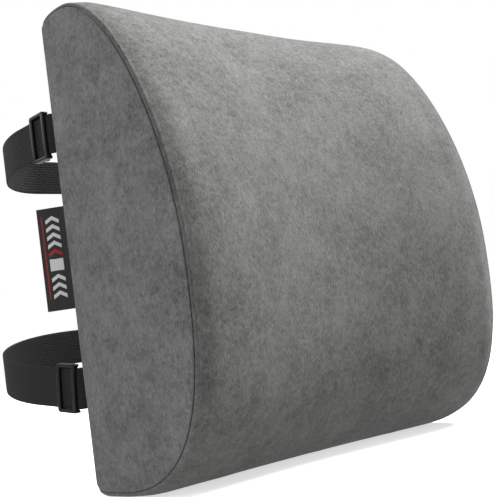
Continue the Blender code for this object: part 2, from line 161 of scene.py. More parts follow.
def noiseNode(tree, place, scale, detail=2.0, rough=0.5):
    links = {"Vector": place, "Scale": scale, "Detail": detail, "Roughness": rough}
    return addNode(tree, "ShaderNodeTexNoise", links).outputs["Fac"]


def newGroup(name, inputs, outputs):
    group = bpy.data.node_groups.new(name, "ShaderNodeTree")
    for label, kind, value in inputs:
        socket = group.interface.new_socket(name=label, in_out="INPUT", socket_type=kind)
        if value is not None:
            socket.default_value = value
    for label, kind in outputs:
        group.interface.new_socket(name=label, in_out="OUTPUT", socket_type=kind)
    return group, group.nodes.new("NodeGroupInput").outputs, group.nodes.new("NodeGroupOutput").inputs


def useGroup(tree, group, **values):
    node = tree.nodes.new("ShaderNodeGroup")
    node.node_tree = group
    for name, value in values.items():
        feed(tree, node.inputs[name], value)
    return node.outputs


def newMaterial(name, **sockets):
    material = bpy.data.materials.new(name)
    material.use_nodes = True
    shader = material.node_tree.nodes["Principled BSDF"]
    for label, value in sockets.items():
        shader.inputs[label.replace("_", " ")].default_value = value
    return material, material.node_tree, shader


def bumpInto(tree, shader, height, distance, strength=1.0):
    links = {"Height": height, "Distance": distance, "Strength": strength}
    bump = addNode(tree, "ShaderNodeBump", links)
    tree.links.new(bump.outputs["Normal"], shader.inputs["Normal"])


def objectPlace(tree):
    return addNode(tree, "ShaderNodeTexCoord").outputs["Object"]


floatSocket, colourSocket, vectorSocket = "NodeSocketFloat", "NodeSocketColor", "NodeSocketVector"


def makePileGroup():  # short brushed pile: blotches, tufts and single fibre ends
    inputs = [("Place", vectorSocket, None), ("Colour", colourSocket, (0.1, 0.1, 0.1, 1))]
    inputs += [("Shade", floatSocket, 1.0), ("Blotch", floatSocket, 0.1), ("Brushed", floatSocket, 0.1)]
    inputs += [("Tuft", floatSocket, 0.1), ("Fibre", floatSocket, 0.2)]
    group, given, made = newGroup("pile", inputs, [("Colour", colourSocket), ("Height", floatSocket)])
    place = given["Place"]
    blotch = noiseNode(group, place, 24, 3, 0.55)
    brushed = noiseNode(group, place, 85, 3, 0.6)
    tuft = noiseNode(group, place, 260, 3, 0.6)
    leaning = {"Vector": place, "Rotation": (0.5, 0.3, 0.6), "Scale": (1, 1, 0.35)}
    stretched = addNode(group, "ShaderNodeMapping", leaning).outputs[0]
    fibre = noiseNode(group, stretched, 1300, 2, 0.7)
    total = 1.0
    for value, amount in ((blotch, "Blotch"), (brushed, "Brushed"), (tuft, "Tuft"), (fibre, "Fibre")):
        varied = mathNode(group, "MULTIPLY", mathNode(group, "SUBTRACT", value, 0.5), given[amount])
        total = mathNode(group, "ADD", mathNode(group, "MULTIPLY", varied, 2.0), total)
    factor = mathNode(group, "MULTIPLY", total, given["Shade"])
    grey = addNode(group, "ShaderNodeCombineColor", {0: factor, 1: factor, 2: factor}).outputs[0]
    group.links.new(mixColour(group, 1.0, given["Colour"], grey, "MULTIPLY"), made["Colour"])
    tuftPart, fibrePart = mathNode(group, "MULTIPLY", tuft, 0.45), mathNode(group, "MULTIPLY", fibre, 0.55)
    group.links.new(mathNode(group, "ADD", tuftPart, fibrePart), made["Height"])
    return group


def makeWeaveGroup():  # threads crossing at right angles, over a flat pair of coordinates
    inputs = [("Place", vectorSocket, None), ("Along", floatSocket, 1000.0)]
    inputs += [("Across", floatSocket, 1000.0), ("Wander", floatSocket, 0.3)]
    group, given, made = newGroup("weave", inputs, [("Height", floatSocket), ("Variation", floatSocket)])
    parts = addNode(group, "ShaderNodeSeparateXYZ", {0: given["Place"]}).outputs
    wander = mathNode(group, "MULTIPLY", noiseNode(group, given["Place"], 400, 1), given["Wander"])
    u = mathNode(group, "ADD", mathNode(group, "MULTIPLY", parts[0], given["Along"]), wander)
    v = mathNode(group, "ADD", mathNode(group, "MULTIPLY", parts[1], given["Across"]), wander)
    warp = mathNode(group, "SINE", mathNode(group, "MULTIPLY", u, math.tau))
    weft = mathNode(group, "SINE", mathNode(group, "MULTIPLY", v, math.tau))
    crossed = mathNode(group, "MULTIPLY", warp, weft)
    group.links.new(rangeNode(group, crossed, -1, 1, 0, 1), made["Height"])
    group.links.new(noiseNode(group, given["Place"], 900, 3, 0.6), made["Variation"])
    return group


def makeHandlingGroup():  # roughness that varies as on a handled part, with faint scratches
    inputs = [("Place", vectorSocket, None), ("Roughness", floatSocket, 0.3), ("Spread", floatSocket, 0.1)]
    group, given, made = newGroup("handling", inputs, [("Roughness", floatSocket), ("Height", floatSocket)])
    smudge = noiseNode(group, given["Place"], 160, 3, 0.6)
    drawn = {"Vector": given["Place"], "Scale": (1, 1, 0.06)}
    scratch = noiseNode(group, addNode(group, "ShaderNodeMapping", drawn).outputs[0], 4200, 2, 0.6)
    smudgePart = mathNode(group, "MULTIPLY", smudge, 0.7)
    scratchPart = mathNode(group, "MULTIPLY", scratch, 0.3)
    mixed = mathNode(group, "ADD", smudgePart, scratchPart)
    spread = mathNode(group, "MULTIPLY", mathNode(group, "SUBTRACT", mixed, 0.5), given["Spread"])
    group.links.new(mathNode(group, "ADD", given["Roughness"], spread), made["Roughness"])
    group.links.new(scratch, made["Height"])
    return group


pileGroup = makePileGroup()
weaveGroup = makeWeaveGroup()
handlingGroup = makeHandlingGroup()


plush = {
    "colour": (0.140, 0.141, 0.138, 1), "blotch": 0.42, "brushed": 0.34, "tuft": 0.54, "fibre": 0.86,
    "onTop": 1.8, "bump": 0.0006,
    "seamShade": 0.76, "seamShadeReach": 0.024, "seamShadeFoot": (0.020, 0.110),  # painted shade beside a seam, fading out towards the base
}


def makePlush():
    material, tree, shader = newMaterial(
        "cover_plush", Roughness=0.95, Sheen_Weight=0.24, Sheen_Roughness=0.5,
        Sheen_Tint=(0.80, 0.80, 0.78, 1), Specular_IOR_Level=0.15,
    )
    paintedSeamShade = addNode(tree, "ShaderNodeAttribute", attribute_name="paintedSeamShade").outputs["Fac"]  # painted shade beside the seams
    normal = addNode(tree, "ShaderNodeTexCoord").outputs["Normal"]
    upward = addNode(tree, "ShaderNodeSeparateXYZ", {0: normal}).outputs[2]
    topPaintedContrast = rangeNode(tree, upward, 0.25, 0.75, 1, plush["onTop"])  # more contrast in the pile's grain on upward faces: painted shading of the pile where light grazes the top
    pile = useGroup(
        tree, pileGroup, Place=objectPlace(tree), Colour=plush["colour"],
        Shade=rangeNode(tree, paintedSeamShade, 0, 1, plush["seamShade"], 1),
        Blotch=plush["blotch"], Brushed=plush["brushed"],
        Tuft=mathNode(tree, "MULTIPLY", topPaintedContrast, plush["tuft"]),
        Fibre=mathNode(tree, "MULTIPLY", topPaintedContrast, plush["fibre"]),
    )
    tree.links.new(pile["Colour"], shader.inputs["Base Color"])
    bumpInto(tree, shader, pile["Height"], plush["bump"], 0.9)
    return material


webbing = {
    "colour": (0.0100, 0.0100, 0.0101, 1), "light": (0.038, 0.037, 0.036, 1), "picks": 1150, "yarns": 950,
    "wander": 0.35, "innerPaintedShade": 0.38, "bump": 0.00018,  # painted shade on the inner face
}


def makeWebbing():  # the ribs are modelled; this adds the picks across them, the fine yarn and painted shade on the inner face
    material, tree, shader = newMaterial(
        "strap_elastic", Roughness=0.76, Sheen_Weight=0.03, Sheen_Roughness=0.4, Specular_IOR_Level=0.2,
    )
    flat = addNode(tree, "ShaderNodeTexCoord").outputs["UV"]
    weave = useGroup(
        tree, weaveGroup, Place=flat, Along=webbing["picks"], Across=webbing["yarns"],
        Wander=webbing["wander"],
    )
    fleck = rangeNode(tree, weave["Variation"], 0.42, 0.75, 0.0, 1.0)
    mask = mathNode(tree, "MULTIPLY", weave["Height"], fleck)
    across = addNode(tree, "ShaderNodeSeparateXYZ", {0: flat}).outputs[1]
    # painted shade on the inner face, whose across coordinate is 1 more
    shade = rangeNode(tree, across, 0.4, 0.6, 1, webbing["innerPaintedShade"])
    grey = addNode(tree, "ShaderNodeCombineColor", {0: shade, 1: shade, 2: shade}).outputs[0]
    yarn = mixColour(tree, mask, webbing["colour"], webbing["light"])
    tree.links.new(mixColour(tree, 1.0, yarn, grey, "MULTIPLY"), shader.inputs["Base Color"])
    tree.links.new(rangeNode(tree, weave["Variation"], 0.3, 0.7, 0.6, 0.85), shader.inputs["Roughness"])
    bumpInto(tree, shader, weave["Height"], webbing["bump"], 0.9)
    return material


def makeMoulded(name, colour, rough, spread, metallic=0.0, bump=0.00001):  # moulded or cast parts
    material, tree, shader = newMaterial(name, Base_Color=(*colour, 1), Metallic=metallic)
    handled = useGroup(tree, handlingGroup, Place=objectPlace(tree), Roughness=rough, Spread=spread)
    tree.links.new(handled["Roughness"], shader.inputs["Roughness"])
    bumpInto(tree, shader, handled["Height"], bump, 0.5)
    return material


def makeWoven(name, colour, light, along, across, rough, turn=(0, 0, 0), bump=0.00012):  # flat woven cloth
    material, tree, shader = newMaterial(
        name, Roughness=rough, Sheen_Weight=0.10, Sheen_Roughness=0.4, Specular_IOR_Level=0.3,
    )
    turned = addNode(tree, "ShaderNodeMapping", {"Vector": objectPlace(tree), "Rotation": turn}).outputs[0]
    weave = useGroup(tree, weaveGroup, Place=turned, Along=along, Across=across, Wander=0.2)
    shade = mathNode(tree, "MULTIPLY", weave["Height"], weave["Variation"])
    tree.links.new(mixColour(tree, shade, (*colour, 1), (*light, 1)), shader.inputs["Base Color"])
    worn = rangeNode(tree, weave["Variation"], 0.3, 0.7, rough - 0.1, rough + 0.1)
    tree.links.new(worn, shader.inputs["Roughness"])
    bumpInto(tree, shader, weave["Height"], bump, 0.8)
    return material


foam = {"cells": 900, "pore": (0.50, 0.48, 0.41, 1), "skin": (0.74, 0.72, 0.64, 1), "bump": 0.0006}


def makeFoam():
    material, tree, shader = newMaterial("memory_foam", Roughness=0.9, Specular_IOR_Level=0.2)
    placed = {"Vector": objectPlace(tree), "Scale": foam["cells"]}
    cells = addNode(tree, "ShaderNodeTexVoronoi", placed).outputs["Distance"]
    shade = rangeNode(tree, cells, 0, 0.6, 0.3, 1.0)
    tree.links.new(mixColour(tree, shade, foam["pore"], foam["skin"]), shader.inputs["Base Color"])
    bumpInto(tree, shader, cells, foam["bump"], 0.8)
    return material


plushFinish = makePlush()
webbingFinish = makeWebbing()
plasticFinish = makeMoulded("adjuster_plastic", (0.0070, 0.0070, 0.0075), 0.28, 0.14)
plasticFinish.node_tree.nodes["Principled BSDF"].inputs["Specular IOR Level"].default_value = 0.26
metalFinish = makeMoulded("zip_metal", (0.42, 0.42, 0.43), 0.34, 0.22, 1.0)
nylonFinish = makeMoulded("zip_nylon", (0.045, 0.045, 0.046), 0.42, 0.15)
quarter = math.pi / 2
labelTurn = (quarter, 0, math.radians(-37))
tapeFinish = makeWoven(
    "zip_tape", (0.030, 0.030, 0.031), (0.065, 0.065, 0.066), 1400, 1400, 0.8, (quarter, 0, 0.6),
)
linerFinish = makeWoven(
    "liner_cloth", (0.50, 0.50, 0.48), (0.68, 0.68, 0.66), 700, 700, 0.9, (quarter, 0, 0),
)
threadFinish = makeMoulded("thread", (0.014, 0.014, 0.015), 0.6, 0.2)
labelFinish = makeWoven(
    "label_weave", (0.013, 0.013, 0.014), (0.035, 0.035, 0.037), 1500, 2200, 0.62, labelTurn,
)
foamFinish = makeFoam()
print("finishes made")


cushion = {
    "height": 0.330, "halfWidth": 0.1615, "depth": 0.120, "puff": 0.0039, "shoulder": 0.019,
    "fullness": 2.3, "lip": 0.00050, "lipFrom": 0.0022, "lipReach": 0.0009, "hollow": 0.0113,
    "deepestHeight": 0.1394, "baseFlat": (0.012, 0.030), "topCrest": 0.023,
    "backCorner": 0.0065, "sideEdge": 0.1597, "backEdge": 0.0019,
}
low = -cushion["height"] / 2
zipHeight = low + 0.034
straps = {
    "upper": {
        "level": low + 0.2469, "bendOut": 0.0025, "straightOut": -0.0023, "adjusterStart": 0.0064,
        "reach": 0.1430, "runHalf": 0.0826, "sideHandle": 0.0283, "backHandle": 0.0422,
        "straightRise": 0.0, "rise": 0.0,
    },
    "lower": {
        "level": low + 0.0730, "bendOut": 0.0037, "straightOut": 0.0040, "adjusterStart": 0.0055,
        "reach": 0.1488, "runHalf": 0.0590, "sideHandle": 0.0800, "backHandle": 0.0720,
        "straightRise": 0.0050, "rise": 0.0312,
    },
}


# how far the outline's curves are drawn on at their joints
pulls = {
    "rearFoot": (0.0008, -0.0043), "baseRear": 0.007, "baseFront": 0.084, "belowDeepest": 0.054,
    "aboveDeepest": 0.091, "crestFront": 0.043, "crestRear": 0.010, "rearTop": (0.0045, 0.0053),
}


def seamOutline():  # (depth, z) from the bottom of the back round the front to its top
    bottom, top = low + cushion["puff"], low + cushion["height"] - cushion["puff"]
    corner = cushion["backCorner"]
    flatBack, flatFront = cushion["baseFlat"]
    deepest = Vector((cushion["depth"] - cushion["puff"], low + cushion["deepestHeight"]))
    crest = Vector((cushion["topCrest"], top))
    foot, front = Vector((flatBack, bottom)), Vector((flatFront, bottom))
    start, end = Vector((0, bottom + corner)), Vector((0, top - corner))
    points = [start]
    below, above = Vector((0, pulls["belowDeepest"])), Vector((0, pulls["aboveDeepest"]))
    points += bezier(start, start + Vector(pulls["rearFoot"]), foot - Vector((pulls["baseRear"], 0)), foot, 7)
    points += [foot.lerp(front, i / 5) for i in range(1, 6)]
    points += bezier(front, front + Vector((pulls["baseFront"], 0)), deepest - below, deepest, 36)
    points += bezier(deepest, deepest + above, crest + Vector((pulls["crestFront"], 0)), crest, 48)
    points += bezier(crest, crest - Vector((pulls["crestRear"], 0)), end + Vector(pulls["rearTop"]), end, 9)
    return points


outline = seamOutline()


def outlineNormal(index):  # never towards the back, so that the back edges stay level
    along = outline[min(index + 1, len(outline) - 1)] - outline[max(index - 1, 0)]
    normal = Vector((along.y, -along.x)).normalized()
    if normal.x > 0:
        return normal
    return Vector((0, math.copysign(1, normal.y)))


outlineNormals = [outlineNormal(i) for i in range(len(outline))]


def frontPoint(index, x, sink=0.0):  # the front's surface, sunk by a distance
    across = x / cushion["halfWidth"]
    fromSeam = cushion["halfWidth"] - abs(x)
    rise = min(fromSeam / cushion["shoulder"], 1)
    puff = cushion["puff"] * max(1 - (1 - rise) ** cushion["fullness"], 0) ** (1 / cushion["fullness"])
    puff += cushion["lip"] * math.exp(-(((fromSeam - cushion["lipFrom"]) / cushion["lipReach"]) ** 2))
    normal = outlineNormals[index]
    hollow = cushion["hollow"] * math.cos(math.pi * across / 2) ** 2 * max(normal.x, 0)
    moved = outline[index] + normal * (puff - hollow - sink)
    return Vector((x, -max(moved.x, cushion["backEdge"]), moved.y)), Vector((0, -normal.x, normal.y))


# how the foam fills the cover, by cloth simulation
filling = {"voxel": 0.005, "pressure": 4.0, "frames": 20, "seamReach": 0.007, "cap": 0.004}


def sewnEdges(mesh):  # points along the sharp edges, where the cover's seams hold it
    work = bmesh.new()
    work.from_mesh(mesh)
    bmesh.ops.remove_doubles(work, verts=work.verts, dist=0.00001)
    found = []
    for edge in work.edges:
        if len(edge.link_faces) == 2 and edge.calc_face_angle(0) > math.radians(50):
            a, b = edge.verts[0].co, edge.verts[1].co
            steps = max(int((b - a).length / 0.004), 1)
            found += [a.lerp(b, i / steps) for i in range(steps + 1)]
    work.free()
    return found


def treeOf(points):
    tree = kdtree.KDTree(len(points))
    for i, point in enumerate(points):
        tree.insert(point, i)
    tree.balance()
    return tree


def simulateFilling():  # returns where the foam's skin is, and how far each place swells
    edges = sewnEdges(cadNodes["foam_core"].data)
    skin = bpy.data.objects.new("filling", cadNodes["foam_core"].data.copy())
    scene.collection.objects.link(skin)
    remesh = skin.modifiers.new("remesh", "REMESH")
    remesh.mode = "VOXEL"
    remesh.voxel_size = filling["voxel"]
    bake(skin)
    resting = [v.co.copy() for v in skin.data.vertices]
    seams = treeOf(edges)
    held = skin.vertex_groups.new(name="held")
    for i, point in enumerate(resting):
        if seams.find(point)[2] < filling["seamReach"]:
            held.add([i], 1.0, "REPLACE")
    cloth = skin.modifiers.new("cloth", "CLOTH")
    cloth.settings.use_pressure = True
    cloth.settings.uniform_pressure_force = filling["pressure"]
    cloth.settings.vertex_group_mass = "held"
    cloth.settings.effector_weights.gravity = 0
    cloth.settings.quality = 4
    cloth.collision_settings.use_collision = False
    for step in range(1, filling["frames"] + 1):
        scene.frame_set(step)
    bake(skin)
    scene.frame_set(1)
    swell = []
    for place, point in zip(resting, skin.data.vertices):
        swell.append(min((point.co - place).length, filling["cap"]) / filling["cap"])
    bpy.data.objects.remove(skin, do_unlink=True)
    return treeOf(resting), swell


fillingTree, fillingSwell = simulateFilling()
meanSwell = sum(fillingSwell) / len(fillingSwell)
print("filling simulated:", len(fillingSwell), "points, mean swell", round(meanSwell, 3))


def fullness(point):  # 0 at a held seam to 1 where the foam pushes the cover out most
    if fillingTree is None:
        return 0.7
    near = fillingTree.find_n(point, 6)
    weights = [1 / (distance + 0.002) for _, _, distance in near]
    return sum(w * fillingSwell[i] for w, (_, i, _) in zip(weights, near)) / sum(weights)


drape = {
    "lump": 0.00045, "lumpSize": 0.062, "pucker": 0.00030, "puckerSize": 0.0085, "puckerReach": 0.010,
    "seamReach": 0.016, "puckerStart": 0.0015,
}


def draped(point, normal, fromSeam, crown, seed):  # a place on the cover, as the filled fabric lies there
    seam = smooth(0, drape["seamReach"], fromSeam)
    lump = noise.noise(point / drape["lumpSize"] + Vector((seed, 0, 0))) * drape["lump"] * seam
    pull = noise.noise(point / drape["puckerSize"] + Vector((0, seed, 0))) * drape["pucker"]
    pull *= math.exp(-fromSeam / drape["puckerReach"]) * smooth(0, drape["puckerStart"], fromSeam)
    return point + normal * (crown * fullness(point) * seam + lump + pull)


cover = {
    "thickness": 0.0011, "frontCrown": 0.0010, "sideCrown": 0.0019, "backCrown": 0.0014, "roll": 0.0015,
    "clearance": 0.00012, "backSink": 0.0012, "frontSteps": 58, "backSteps": 72, "backPitch": 0.0045,
}
# where the front panel's edge turns in at a side seam: distance in from the seam line, and sink
seamTurn = (
    (0.0019, 0.0052), (0.0017, 0.0040), (0.0011, 0.0030), (0.0003, 0.0024), (-0.0005, 0.0019),
    (-0.0009, 0.0012),
)
frontStations = (
    -0.0010, -0.0007, -0.0002, 0.0005, 0.0012, 0.0021, 0.0032, 0.0046, 0.0062, 0.0080, 0.0102, 0.0128,
)
# the side panel's edge in the seam groove: sink in from the outline, and drop below the flat
sideRim = (
    (0.0024, 0.0017), (0.0014, 0.0019), (0.0007, 0.0018), (0.0003, 0.0013), (0.0003, 0.0007),
    (0.0006, 0.0002), (0.0012, 0.0),
)
sideShrink = (0.025, 0.055, 0.09, 0.13, 0.18, 0.24, 0.31, 0.39, 0.48, 0.58, 0.69, 0.80, 0.90, 0.97)


def paintSeamShade(piece, values):  # 0 where the painted shade beside a seam is darkest, 1 where there is none
    layer = piece.data.attributes.new("paintedSeamShade", "FLOAT", "POINT")
    layer.data.foreach_set("value", values)


def coverPiece(panel, points, faces, paintedSeamShade, finer=True):  # cloth with its thickness inwards
    piece = makePiece(panel + "_plush", points, faces, plushFinish, 80)
    paintSeamShade(piece, paintedSeamShade)
    solid = piece.modifiers.new("thickness", "SOLIDIFY")
    solid.thickness = cover["thickness"]
    solid.offset = -1
    solid.use_rim = True
    if finer:
        piece.modifiers.new("finer", "SUBSURF").levels = 1
        piece.modifiers["finer"].render_levels = 1
    stands(piece, "cushion", "cover_plush", "cover_" + panel)
    return piece


def makeFrontPanel():
    edge = cushion["sideEdge"]
    columns = [(-edge + inwards, sink) for inwards, sink in seamTurn]
    columns += [(-edge + inwards, 0.0) for inwards in frontStations]
    inner = edge - frontStations[-1]
    steps = cover["frontSteps"]
    columns += [(-inner + 2 * inner * i / steps, 0.0) for i in range(1, steps)]
    columns += [(-x, sink) for x, sink in reversed(columns[: len(seamTurn) + len(frontStations)])]
    last = len(outline) - 1
    limit = cushion["halfWidth"] - cover["clearance"]
    points, paintedSeamShade = [], []
    for index in range(len(outline)):
        backSink = cover["backSink"] if index in (0, last) else 0.0
        for x, sink in columns:
            place, normal = frontPoint(index, max(min(x, limit), -limit), sink + backSink)
            fromSide = edge - abs(x)
            fromBack = -place.y
            if sink == 0 and not backSink:
                place = draped(place, normal, max(min(fromSide, fromBack), 0), cover["frontCrown"], 3.1)
            points.append(place)
            foot = 1 - smooth(*plush["seamShadeFoot"], place.z - low)  # the painted seam shade fades out near the base
            paintedSeamShade.append(max(smooth(-0.002, plush["seamShadeReach"], fromSide), foot))
    piece = coverPiece("front_panel", points, gridFaces(len(outline), len(columns)), paintedSeamShade)
    return piece


def sideLoop():  # the side panel's edge as a closed ring: round the front, then down the back
    top, bottom = outline[-1], outline[0]
    steps = 70
    back = [top.lerp(bottom, i / steps) for i in range(1, steps)]
    ring = [Vector(p) for p in outline] + back
    count = len(ring)
    normals = []
    for i in range(count):
        along = ring[(i + 1) % count] - ring[i - 1]
        normals.append(Vector((along.y, -along.x)).normalized())
    return ring, normals


def makeSidePanel(name, side):
    ring, normals = sideLoop()
    count = len(ring)
    outer = cushion["halfWidth"]
    centre = sum(ring, Vector((0, 0))) / count
    start = sideRim[-1][0]
    rings = []
    for sink, drop in sideRim:
        edge = [p - n * sink for p, n in zip(ring, normals)]
        rings.append([Vector((side * (outer - drop), -p.x, p.y)) for p in edge])
    base = [p - n * start for p, n in zip(ring, normals)]
    for part in sideShrink:
        row = []
        for p in base:
            moved = p.lerp(centre, part)
            place = Vector((side * outer, -moved.x, moved.y))
            fromSeam = (p - moved).length + start
            row.append(draped(place, Vector((side, 0, 0)), fromSeam, cover["sideCrown"], 7.7 + side))
        rings.append(row)
    points = [p for row in rings for p in row]
    faces = gridFaces(len(rings), count, True)
    middle = sum(rings[-1], Vector((0, 0, 0))) / count
    points.append(middle)
    inner = (len(rings) - 1) * count
    faces += [(inner + i, inner + (i + 1) % count, len(points) - 1) for i in range(count)]
    if side > 0:
        faces = [tuple(reversed(face)) for face in faces]
    # the rim rings down in the seam groove get painted shade
    inSeam = (len(sideRim) - 2) * count
    piece = coverPiece(name, points, faces, [0.0] * inSeam + [1.0] * (len(points) - inSeam))
    return piece


def edgeFall(distance, radius):  # how far a turned edge has fallen away at a distance from its end
    if distance >= radius:
        return 0.0
    return radius - math.sqrt(max(radius**2 - (radius - max(distance, 0)) ** 2, 0))


def spread(start, end, steps, close=(0.0, 0.0003, 0.0008, 0.0016, 0.0030, 0.0055, 0.009)):
    inner = [start + (end - start) * i / steps for i in range(1, steps)]
    keep = [v for v in inner if v - start > 0.012 and end - v > 0.012]
    near = [start + c for c in close if start + c < (start + end) / 2]
    far = [end - c for c in reversed(close) if end - c > (start + end) / 2]
    return near + keep + far


notch = {"depth": 0.0021, "flat": 0.0142, "end": 0.0185}


def strapNotch(z):  # how far the back panel's side edge is pulled in where a strap comes out
    pulled = 0.0
    for strap in straps.values():
        away = abs(z - strap["level"])
        pulled = max(pulled, notch["depth"] * (1 - smooth(notch["flat"], notch["end"], away)))
    return pulled


def makeBackPanel(name, bottom, top):
    radius = cover["roll"]
    levels = spread(bottom, top, max(round((top - bottom) / cover["backPitch"]), 4))
    half = cushion["sideEdge"] - 0.0001
    sides = spread(-half, half, cover["backSteps"])
    points = []
    for z in levels:
        reach = half - strapNotch(z)
        for x in sides:
            moved = x * reach / half
            fromEdge = min(z - bottom, top - z, reach - abs(moved))
            place = Vector((moved, -edgeFall(fromEdge, radius), z))
            points.append(draped(place, Vector((0, 1, 0)), max(fromEdge, 0), cover["backCrown"], 12.3))
    faces = [tuple(reversed(face)) for face in gridFaces(len(levels), len(sides))]
    piece = coverPiece(name, points, faces, [1.0] * len(points), finer=False)
    return piece


makeFrontPanel()
makeSidePanel("side_panel_left", -1)
makeSidePanel("side_panel_right", 1)
backLow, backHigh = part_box("cover_back_panel")
lowerLow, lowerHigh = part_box("cover_back_lower_panel")
makeBackPanel("back_panel", backLow[2], backHigh[2])
makeBackPanel("back_lower_panel", lowerLow[2], lowerHigh[2])
print("cover made")


band = {
    "width": 0.0275, "thickness": 0.00145, "ribs": 13, "ribDepth": 0.00013, "seamX": 0.1589,
    "straightEnd": 0.050, "bendEnd": 0.0055, "hidden": 0.0016, "mouth": 0.0003, "cadThickness": 0.0014,
}


def ribbedSection(width, thickness, ribs, ribDepth):  # closed outline of webbing: (across, away)
    half = width / 2
    steps = ribs * 5
    face = []
    for i in range(steps + 1):
        across = -half + width * i / steps
        edge = min((half - abs(across)) / (thickness * 0.7), 1)
        rounded = thickness / 2 * math.sqrt(max(1 - (1 - edge) ** 2, 0))
        rib = ribDepth / 2 * (math.cos(math.tau * ribs * (i / steps - 0.5 / ribs)) + 1)
        face.append((across, max(rounded - rib * edge, 0)))
    return face + [(across, -away) for across, away in reversed(face[1:-1])]


# webbing along a path; its UV is the length run and the place across, with 1 more on the inner face
def sweepBand(name, path, ups, section, finish):
    rings = []
    lengths = [0.0]
    for i, point in enumerate(path):
        before, after = path[max(i - 1, 0)], path[min(i + 1, len(path) - 1)]
        along = (after - before).normalized()
        up = (ups[i] - along * ups[i].dot(along)).normalized()
        away = up.cross(along).normalized()
        rings.append([point + up * across + away * off for across, off in section])
        if i:
            lengths.append(lengths[-1] + (point - path[i - 1]).length)
    piece = loftPiece(name, rings, finish)
    count = len(section)
    layer = piece.data.uv_layers.new(name="run")
    for loop in piece.data.loops:
        ring, place = divmod(loop.vertex_index, count)
        across, away = section[place]
        layer.data[loop.index].uv = (lengths[min(ring, len(lengths) - 1)], across + (1 if away < 0 else 0))
    return piece


def straightStretch(strap):
    seam, level = -band["seamX"], strap["level"]
    bend = Vector((seam - strap["bendOut"], band["bendEnd"], level))
    end = Vector((seam - strap["straightOut"], band["straightEnd"], level + strap["straightRise"]))
    return bend, end, (end - bend).normalized()


def strapPath(strap):  # the webbing's middle line from one back seam round to the other
    bend, end, along = straightStretch(strap)
    run = Vector((-strap["runHalf"], strap["reach"], strap["level"] + strap["rise"]))
    mouth = Vector((-band["seamX"], band["mouth"], strap["level"]))
    half = [Vector((-band["seamX"], -band["hidden"], strap["level"])), mouth]
    half += bezier(mouth, mouth + Vector((0, 0.002, 0)), bend - along * 0.002, bend, 6)
    half += [bend.lerp(end, i / 14) for i in range(1, 15)]
    turn = run - Vector((strap["backHandle"], 0, 0))
    half += bezier(end, end + along * strap["sideHandle"], turn, run, 46)
    half += [run.lerp(Vector((0, run.y, run.z)), i / 16) for i in range(1, 16)]
    return half + [Vector((0, run.y, run.z))] + [Vector((-p.x, p.y, p.z)) for p in reversed(half)]


def makeBand(name, strap):
    path = strapPath(strap)
    ups = [Vector((0, 0, 1))] * len(path)
    section = ribbedSection(band["width"], band["thickness"], band["ribs"], band["ribDepth"])
    piece = sweepBand(name + "_strap_webbing", path, ups, section, webbingFinish)
    stands(piece, "cushion", "strap_elastic", name + "_strap_band")


adjuster = {
    "length": 0.0206, "rail": 0.0024, "railDepth": 0.0010, "outerWidth": 0.0034, "outer": 0.0018,
    "centreWidth": 0.0030, "centre": 0.0018, "fold": 0.0011, "foldLength": 0.0180, "gap": 0.0003,
    "corner": 0.0021, "rounding": 0.00050, "windowCorner": 0.0007, "crown": 0.00025, "barRounding": 0.0006,
    "barInset": 0.0001, "lugInset": 0.00015, "foldNarrower": 0.0007, "foldThinner": 0.00008,
}
webbingHalf = band["width"] / 2
outerLow = band["cadThickness"] / 2 + adjuster["gap"]
foldTop = -outerLow
barHigh = foldTop - adjuster["fold"] - adjuster["gap"]
barLow = barHigh - adjuster["centre"]


def onStrap(strap):  # turns (along, away, up) about the adjuster's middle into the frame
    bend, _, along = straightStretch(strap)
    start = bend + along * ((strap["adjusterStart"] - band["bendEnd"]) / along.y)
    middle = start + along * (adjuster["length"] / 2)
    up = (Vector((0, 0, 1)) - along * along.z).normalized()
    away = up.cross(along).normalized()
    return Matrix.Translation(middle) @ Matrix((along, away, up)).transposed().to_4x4()


def roundedLoop(halfLength, halfHeight, corner, steps=6):
    loop = []
    for turn, (x, y) in enumerate(((1, 1), (-1, 1), (-1, -1), (1, -1))):
        for i in range(steps + 1):
            angle = math.pi / 2 * (turn + i / steps)
            loop.append(Vector((
                x * (halfLength - corner) + corner * math.cos(angle),
                y * (halfHeight - corner) + corner * math.sin(angle),
            )))
    dense = []
    for i, point in enumerate(loop):  # the straight sides get points too
        dense.append(point)
        after = loop[(i + 1) % len(loop)]
        if (i + 1) % (steps + 1) == 0:
            dense += [point.lerp(after, j / 6) for j in range(1, 6)]
    return dense


def roundedProfile(lowest, highest, rounding, width):  # closed profile of a bar: (part of width, height)
    profile = []
    corners = ((0, lowest, 180), (1, lowest, 270), (1, highest, 0), (0, highest, 90))
    for side, height, begin in corners:
        for i in range(4):
            angle = math.radians(begin + 30 * i)
            x = (width - rounding if side else rounding) + rounding * math.cos(angle)
            y = height + (rounding if height == lowest else -rounding) + rounding * math.sin(angle)
            profile.append((x / width, y))
    return profile


def makeFrameRing(name, transform):
    window = webbingHalf + adjuster["gap"]
    halfLength, halfHeight = adjuster["length"] / 2, window + adjuster["rail"]
    outside = roundedLoop(halfLength, halfHeight, adjuster["corner"])
    inside = roundedLoop(halfLength - adjuster["outerWidth"], window, adjuster["windowCorner"])
    top = outerLow + adjuster["outer"]
    rings = []
    for inner, outer in zip(inside, outside):
        width = (outer - inner).length
        onRail = smooth(window - 0.0016, window + 0.0008, abs((inner.y + outer.y) / 2))
        bottom = outerLow + (foldTop - adjuster["railDepth"] - outerLow) * onRail
        crown = adjuster["crown"] * (1 - onRail)
        ring = []
        for part, height in roundedProfile(bottom, top + crown, adjuster["rounding"], width):
            flat = inner.lerp(outer, part)
            ring.append(transform @ Vector((flat.x, height, flat.y)))
        rings.append(ring)
    count = len(rings[0])
    faces = gridFaces(len(rings) + 1, count, True)
    faces = [tuple(i % (len(rings) * count) for i in face) for face in faces]
    piece = makePiece(name, [p for ring in rings for p in ring], faces, plasticFinish, 60)
    faceOut(piece)
    return piece


